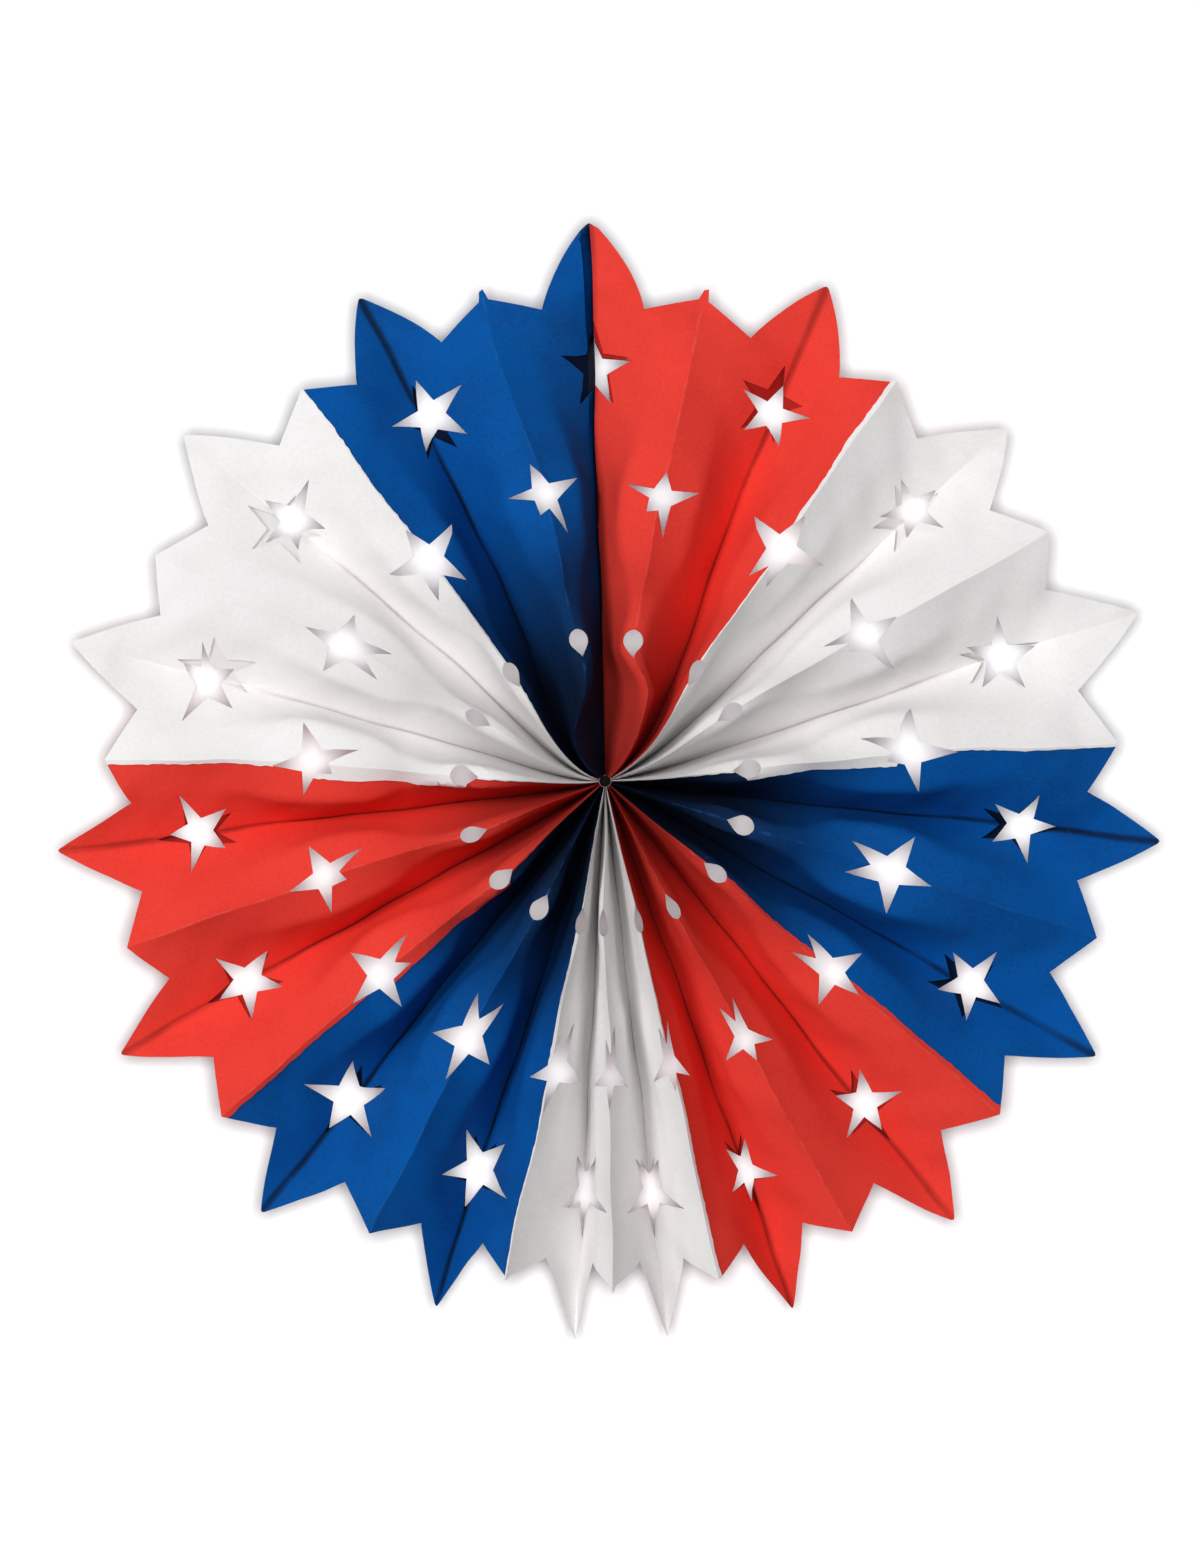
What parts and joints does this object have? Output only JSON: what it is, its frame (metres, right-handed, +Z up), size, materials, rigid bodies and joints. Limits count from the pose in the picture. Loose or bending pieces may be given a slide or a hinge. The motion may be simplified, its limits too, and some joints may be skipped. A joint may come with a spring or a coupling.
{
  "type": "pleated paper star fan",
  "caption": "Pleated paper fan opened into a full turn, in red, white and blue sheets, with a pointed rim and cut-out stars and teardrops, for hanging or pinning to a wall.",
  "frame": {"origin": "centre of the gathered hub, halfway through the fan's depth", "axes": "+Z up through the seam's big tip, +X to the right as seen from the front, -Y out of the front"},
  "size_m": [0.5277, 0.0658, 0.5314],
  "materials": {
    "red_paper": "matte",
    "white_paper": "matte",
    "blue_paper": "matte",
    "thread": "matte"
  },
  "bodies": {
    "root": {"red_1_front": "red_paper", "red_1_back": "red_paper", "white_1_front": "white_paper", "white_1_back": "white_paper", "blue_1_front": "blue_paper", "blue_1_back": "blue_paper", "red_2_front": "red_paper", "red_2_back": "red_paper", "white_2_front": "white_paper", "white_2_back": "white_paper", "blue_2_front": "blue_paper", "blue_2_back": "blue_paper", "red_3_front": "red_paper", "red_3_back": "red_paper", "white_3_front": "white_paper", "white_3_back": "white_paper", "blue_3_front": "blue_paper", "blue_3_back": "blue_paper", "centre_tie": "thread"}
  },
  "joints": []
}
